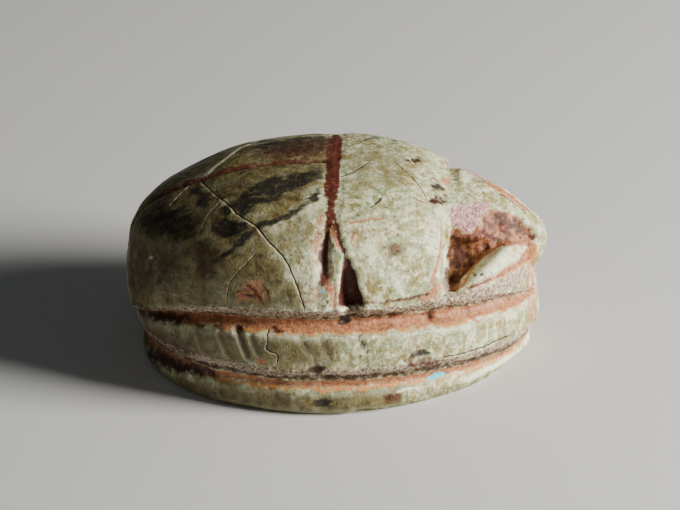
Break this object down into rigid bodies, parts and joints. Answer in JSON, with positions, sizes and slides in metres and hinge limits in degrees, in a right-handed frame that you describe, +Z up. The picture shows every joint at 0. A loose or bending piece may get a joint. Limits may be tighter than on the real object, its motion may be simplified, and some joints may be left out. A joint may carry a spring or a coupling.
{
  "type": "scarab amulet",
  "caption": "Small carved stone beetle on a flat oval base, domed back divided by grooves, pierced lengthwise for a thread.",
  "frame": {"origin": "middle of the flat underside, on the surface that it lies on", "axes": "+X towards the beetle's head, +Z up from the flat underside through the back, +Y towards the beetle's left"},
  "size_m": [0.018, 0.013, 0.0088],
  "materials": {
    "steatite": "worn pale steatite with ochre left in the grooves and dark stains on the wing cases"
  },
  "bodies": {
    "root": {"scarab": "steatite"}
  },
  "joints": []
}
